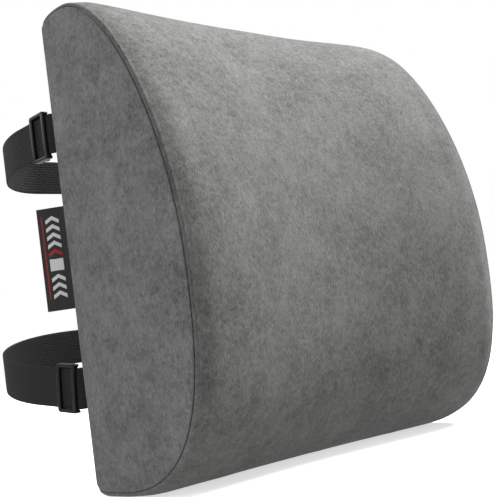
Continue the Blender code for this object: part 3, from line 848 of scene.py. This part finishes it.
def makeBar(transform, width, lowest, highest, start, end, rounding):  # a bar across the strap
    rings = []
    stations = ((start, 0.6), (start + 0.0002, 0.85), (start + 0.0006, 1), (0, 1))
    stations += ((end - 0.0006, 1), (end - 0.0002, 0.85), (end, 0.6))
    middle = (lowest + highest) / 2
    for up, size in stations:
        ring = []
        for part, height in roundedProfile(lowest, highest, rounding, width):
            across = (part - 0.5) * width * size
            ring.append(transform @ Vector((across, middle + (height - middle) * size, up)))
        rings.append(ring)
    return loftPiece("bar", rings, plasticFinish, True, 60)


def makeAdjuster(name, strap):
    transform = onStrap(strap)
    halfHeight = webbingHalf + adjuster["gap"] + adjuster["rail"]
    ring = makeFrameRing(name + "_slide_adjuster", transform)
    reach, inset = halfHeight - adjuster["barInset"], adjuster["lugInset"]
    width, rounding = adjuster["centreWidth"], adjuster["barRounding"]
    bars = [makeBar(transform, width, barLow, barHigh, -reach, reach, rounding)]
    for side in (-1, 1):
        ends = sorted((side * (halfHeight - inset), side * (halfHeight - adjuster["rail"] + inset)))
        lug = []
        for height in (barLow + 0.0006, barHigh, foldTop - adjuster["railDepth"], foldTop + 0.0004):
            half = width / 2 - 0.00005
            corners = ((-half, ends[0]), (half, ends[0]), (half, ends[1]), (-half, ends[1]))
            lug.append([transform @ Vector((a, height, u)) for a, u in corners])
        bars.append(loftPiece("lug", lug, plasticFinish, True, 60))
    fuse(ring, bars)
    ring.data.shade_smooth()
    ring.data.set_sharp_from_angle(angle=math.radians(42))
    stands(ring, name + "_adjuster_body", "adjuster_plastic", name + "_adjuster")
    makeFold(name, transform)


def makeFold(name, transform):  # the webbing's end, turned round the centre bar and tacked to itself
    thick = adjuster["fold"]
    bottom = barLow - adjuster["gap"] - thick
    nose = -(adjuster["centreWidth"] / 2 + adjuster["gap"] + thick)
    upper, lower = foldTop - thick / 2, bottom + thick / 2
    joined = foldTop - 1.5 * thick
    turn = (upper - lower) / 2
    length = adjuster["foldLength"]
    flat = [Vector((length + (nose + thick - length) * i / 9, upper)) for i in range(9)]
    centre = Vector((nose + thick, (upper + lower) / 2))
    reach = min(thick * 0.5, turn)
    for i in range(9):
        angle = math.pi / 2 + math.pi * i / 8
        flat.append(centre + Vector((reach * math.cos(angle), turn * math.sin(angle))))
    flat += [Vector((adjuster["centreWidth"] / 2 + adjuster["gap"], lower))]
    here, there = flat[-1], Vector((length * 0.5, joined))
    flat += bezier(here, here + Vector((0.002, 0)), there - Vector((0.002, 0)), there, 6)
    flat += [Vector((length * (0.5 + 0.5 * i / 5), joined)) for i in range(1, 6)]
    path = [transform @ Vector((p.x, p.y, 0)) for p in flat]
    up = transform.to_3x3() @ Vector((0, 0, 1))
    width = band["width"] - adjuster["foldNarrower"]
    section = ribbedSection(width, thick - adjuster["foldThinner"], band["ribs"], band["ribDepth"] * 0.8)
    piece = sweepBand(name + "_webbing_end", path, [up] * len(path), section, webbingFinish)
    stands(piece, name + "_adjuster_body", "strap_elastic", name + "_strap_fold")
    makeTack(name, transform, joined - thick / 2 - adjuster["gap"])


tack = {"length": 0.0050, "fromEnd": 0.0012, "width": 0.0218, "stitches": 34, "thread": 0.00022}


def makeTack(name, transform, top):  # a dense zigzag of thread
    start = adjuster["foldLength"] - tack["length"] - tack["fromEnd"]
    near, far = start, start + tack["length"]
    pitch = tack["width"] / tack["stitches"]
    line = []
    for i in range(tack["stitches"] + 1):
        up = (i / tack["stitches"] - 0.5) * tack["width"]
        line.append(Vector((near if i % 2 else far, top - tack["thread"], up)))
        line.append(Vector(((near + far) / 2, top - tack["thread"] * 1.5, up + pitch / 4)))
    rings = []
    for i, point in enumerate(line):
        along = (line[min(i + 1, len(line) - 1)] - line[max(i - 1, 0)]).normalized()
        side = along.cross(Vector((0, 1, 0)))
        side = side.normalized() if side.length > 0.1 else Vector((0, 0, 1))
        rise = side.cross(along)
        ring = []
        for k in range(6):
            angle = math.tau * k / 6
            out = side * math.cos(angle) + rise * math.sin(angle)
            ring.append(transform @ (point + out * tack["thread"]))
        rings.append(ring)
    piece = loftPiece(name + "_zigzag_tack", rings, threadFinish, True, 80)
    stands(piece, name + "_adjuster_body", "thread", name + "_fold_bar_tack")


for strapName, strap in straps.items():
    makeBand(strapName, strap)
    makeAdjuster(strapName, strap)
print("straps made")


zipper = {
    "length": 0.250, "pitch": 0.00165, "tip": 0.00040, "root": 0.00235, "wire": 0.00030, "depth": 0.00080,
    "halfThickness": 0.00055, "perTurn": 12,
}


def refined(name, node, finish, body, slotName, width):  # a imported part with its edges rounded
    work = bmesh.new()
    work.from_mesh(cadNodes[node].data)
    bmesh.ops.remove_doubles(work, verts=work.verts, dist=0.000005)
    bmesh.ops.dissolve_limit(work, angle_limit=math.radians(2), verts=work.verts, edges=work.edges)
    mesh = bpy.data.meshes.new(name)
    work.to_mesh(mesh)
    work.free()
    mesh.materials.append(finish)
    piece = bpy.data.objects.new(name, mesh)
    scene.collection.objects.link(piece)
    bevel = piece.modifiers.new("rounded", "BEVEL")
    bevel.width = width
    bevel.segments = 3
    bevel.limit_method = "ANGLE"
    bevel.angle_limit = math.radians(30)
    bake(piece)
    piece.data.shade_smooth()
    piece.data.set_sharp_from_angle(angle=math.radians(40))
    return stands(piece, body, slotName, node)


def makeCoil(name, side):  # one row of the zip's nylon coil, as a flattened spring
    turns = round(zipper["length"] / zipper["pitch"])
    perTurn = zipper["perTurn"]
    centre = (zipper["tip"] + zipper["root"]) / 2
    reach = (zipper["root"] - zipper["tip"]) / 2 - zipper["wire"]
    deep = zipper["halfThickness"] - zipper["wire"] / 2
    shift = 0.25 if side > 0 else 0.75
    rings = []
    for i in range(turns * perTurn + 1):
        angle = math.tau * (i / perTurn + shift)
        x = -zipper["length"] / 2 + zipper["length"] * i / (turns * perTurn)
        z = zipHeight + side * (centre - reach * math.cos(angle))
        place = Vector((x, -zipper["depth"] + deep * math.sin(angle), z))
        out = Vector((0, math.sin(angle) * reach, -side * math.cos(angle) * deep)).normalized()
        ahead = Vector((1, 0, 0))
        ring = []
        for k in range(5):
            turn = math.tau * k / 5
            ring.append(place + (out * math.cos(turn) + ahead * math.sin(turn)) * zipper["wire"])
        rings.append(ring)
    piece = loftPiece(name, rings, nylonFinish, True, 80)
    stands(piece, "cushion", "zip_nylon", name.replace("coil", "teeth"))


makeCoil("zip_coil_upper", 1)
makeCoil("zip_coil_lower", -1)
refined("zip_slider_body_cast", "zip_slider", metalFinish, "zip_slider_body", "zip_metal", 0.00018)
refined("zip_pull_tab", "zip_pull", metalFinish, "zip_pull_body", "zip_metal", 0.00022)
refined("zip_bottom_crimp", "zip_bottom_stop", metalFinish, "cushion", "zip_metal", 0.0003)
refined("zip_top_crimp", "zip_top_stop", metalFinish, "cushion", "zip_metal", 0.0003)
for node, finish in (
    ("zip_tape_upper", tapeFinish), ("zip_tape_lower", tapeFinish),
    ("foam_core", foamFinish), ("foam_liner", linerFinish),
):
    for materialSlot in cadNodes[node].material_slots:
        materialSlot.material = finish
print("zip made")


label = {
    "height": 0.0694, "reach": 0.0176, "middle": low + 0.1610, "angle": 53, "offset": 0.0009,
    "thickness": 0.0011, "slit": 0.00014, "bow": 0.0005, "bowFall": 2.2, "sewnIn": 0.0020,
}
labelAxis = Vector((-cushion["halfWidth"] - label["offset"] * 0.7, label["offset"] * 0.7, label["middle"]))
labelOut = Vector((-math.cos(math.radians(label["angle"])), math.sin(math.radians(label["angle"])), 0))
labelFace = Vector((-labelOut.y, labelOut.x, 0))


def onLabel(reach, off, up):  # a place on the label, which bows a little and runs on into the seam
    reach = reach * (1 + label["sewnIn"] / label["reach"]) - label["sewnIn"]
    part = min(max(reach / label["reach"], 0), 1)
    bow = label["bow"] * math.sin(math.pi * part) * math.cos(up / label["height"] * label["bowFall"])
    return labelAxis + labelOut * reach + labelFace * (off + bow) + Vector((0, 0, up))


def foldedLine(half, tip):  # one face, round the folded edge and back along the other face
    line = [(tip * i / 12, half) for i in range(13)]
    turn = [math.pi * i / 6 for i in range(1, 6)]
    line += [(tip + half * math.sin(angle), half * math.cos(angle)) for angle in turn]
    return line + [(tip * (12 - i) / 12, -half) for i in range(13)]


def makeLabel():
    half = label["thickness"] / 2
    tip = label["reach"] - half
    outer, inner = foldedLine(half, tip), foldedLine(label["slit"] / 2, tip)
    count = len(outer)
    steps = 24
    levels = [label["height"] * (i / steps - 0.5) for i in range(steps + 1)]
    points = []
    for up in levels:
        points += [onLabel(reach, off, up) for reach, off in outer]
        points += [onLabel(reach, off, up) for reach, off in reversed(inner)]
    ring = 2 * count
    faces = gridFaces(len(levels), ring, True)
    for base, turned in ((0, True), (steps * ring, False)):
        for i in range(count - 1):
            face = (base + i, base + i + 1, base + ring - 2 - i, base + ring - 1 - i)
            faces.append(tuple(reversed(face)) if turned else face)
    piece = makePiece("folded_woven_label", points, faces, labelFinish, 50)
    faceOut(piece)
    stands(piece, "label_body", "label_weave", "woven_label")


mark = {
    "lift": 0.00016, "white": (0.72, 0.72, 0.71), "red": (0.42, 0.018, 0.022), "sides": (0.0040, 0.0124),
    "chevrons": (-0.0268, -0.0212, -0.0156, 0.0070, 0.0126, 0.0182, 0.0238), "redChevron": 0.0016,
    "rise": 0.0028, "thick": 0.0026, "redThick": 0.0024, "block": (-0.0080, 0.0),
    "line": (0.0142, 0.0150), "lineEnds": (-0.0268, 0.0290),
}


def makeMark(name, shapes, finish):  # raised threadwork: outlines drawn as (reach, up)
    points, faces = [], []
    for shape in shapes:
        count = len(shape)
        base = len(points)
        for lift in (-0.0001, mark["lift"] * 0.6, mark["lift"]):
            middle = sum((Vector(p) for p in shape), Vector((0, 0))) / count
            for p in shape:
                q = Vector(p).lerp(middle, 0.04 if lift == mark["lift"] else 0)
                points.append(onLabel(q.x, label["thickness"] / 2 + lift, q.y))
        faces += [tuple(base + i for i in face) for face in gridFaces(3, count, True)]
        faces.append(tuple(base + i for i in reversed(range(count))))
        faces.append(tuple(base + 2 * count + i for i in range(count)))
    piece = makePiece(name, points, faces, finish, 40)
    faceOut(piece)
    stands(piece, "label_body", "label_weave")


def chevron(up, thick):  # a shallow V of even thickness
    left, right = mark["sides"]
    below = [(left, up), ((left + right) / 2, up + mark["rise"]), (right, up)]
    return below + [(x, z + thick) for x, z in reversed(below)]


def oblong(sides, ends):
    return (sides[0], ends[0]), (sides[1], ends[0]), (sides[1], ends[1]), (sides[0], ends[1])


def makeMarks():
    whiteFinish = makeWoven("mark_white", (0.50, 0.50, 0.49), mark["white"], 2200, 900, 0.6, labelTurn)
    redFinish = makeWoven("mark_red", (0.26, 0.010, 0.013), mark["red"], 2200, 900, 0.6, labelTurn)
    whites = [chevron(up, mark["thick"]) for up in mark["chevrons"]]
    whites.append(oblong(mark["sides"], mark["block"]))
    makeMark("label_mark_white", whites, whiteFinish)
    reds = [chevron(mark["redChevron"], mark["redThick"]), oblong(mark["line"], mark["lineEnds"])]
    makeMark("label_mark_red", reds, redFinish)


makeLabel()
makeMarks()
print("label made")


view = {
    "place": (-0.55901, -0.56789, -0.07670), "azimuth": -44.93, "elevation": -5.19, "roll": -7.83,
    "lens": 74.0789, "sensor": 36,
}


def makeCamera():
    azimuth, elevation, roll = (math.radians(view[key]) for key in ("azimuth", "elevation", "roll"))
    level = math.cos(elevation)
    back = Vector((math.sin(azimuth) * level, -math.cos(azimuth) * level, math.sin(elevation)))
    right = (-back).cross(Vector((0, 0, 1))).normalized()
    up = right.cross(-back)
    turnedRight = right * math.cos(roll) + up * math.sin(roll)
    turnedUp = up * math.cos(roll) - right * math.sin(roll)
    camera = bpy.data.objects.new("camera", bpy.data.cameras.new("camera"))
    camera.data.lens = view["lens"]
    camera.data.sensor_width = view["sensor"]
    camera.data.clip_start = 0.01
    turned = Matrix((turnedRight, turnedUp, back)).transposed().to_4x4()
    camera.matrix_world = Matrix.Translation(view["place"]) @ turned
    scene.collection.objects.link(camera)
    scene.camera = camera


lights = {
    "key": {"place": (3.4, -1.1, 4.1), "size": 3.0, "power": 655.0, "colour": (1.0, 0.99, 0.975)},
    "left": {"place": (-1.9, -0.3, 0.5), "size": 1.6, "power": 14.0, "colour": (0.98, 0.99, 1.0)},
    "rear": {"place": (-0.6, 1.8, 1.2), "size": 1.6, "power": 7.0, "colour": (1.0, 1.0, 1.0)},
    "sky": 0.42, "backdrop": 1.0,
}


def makeLights():
    for name in ("key", "left", "rear"):
        facts = lights[name]
        lamp = bpy.data.lights.new(name, "AREA")
        lamp.shape = "DISK"
        lamp.size = facts["size"]
        lamp.energy = facts["power"]
        lamp.color = facts["colour"]
        lampObject = bpy.data.objects.new(name, lamp)
        lampObject.location = facts["place"]
        lampObject.rotation_mode = "QUATERNION"
        lampObject.rotation_quaternion = Vector(facts["place"]).to_track_quat("Z", "Y")
        scene.collection.objects.link(lampObject)
    world = bpy.data.worlds.new("studio")
    world.use_nodes = True
    background = world.node_tree.nodes["Background"]
    background.inputs["Color"].default_value = (1, 1, 1, 1)
    seen = addNode(world.node_tree, "ShaderNodeLightPath").outputs["Is Camera Ray"]
    strength = rangeNode(world.node_tree, seen, 0, 1, lights["sky"], lights["backdrop"])
    world.node_tree.links.new(strength, background.inputs["Strength"])
    scene.world = world
    scene.view_settings.view_transform = "Standard"


# the floor is seen paler than the light it throws
floorFacts = {"shown": 0.92, "glow": 0.60, "thrown": 0.16, "lift": 0.35, "reach": 12}


def makeFloor():
    material, tree, shader = newMaterial("pale_floor", Roughness=0.9, Emission_Strength=1.0)
    seen = addNode(tree, "ShaderNodeLightPath").outputs["Is Camera Ray"]
    for hidden, shown, socket in (("thrown", "shown", "Base Color"), ("lift", "glow", "Emission Color")):
        dim, pale = ((floorFacts[key],) * 3 + (1,) for key in (hidden, shown))
        tree.links.new(mixColour(tree, seen, dim, pale), shader.inputs[socket])
    reach = floorFacts["reach"]
    corners = [(-reach, -reach), (reach, -reach), (reach, reach), (-reach, reach)]
    floor = makePiece("floor", [(x, y, low - 0.0002) for x, y in corners], [(0, 1, 2, 3)], material)


makeCamera()
makeLights()
makeFloor()

print("scene ready")
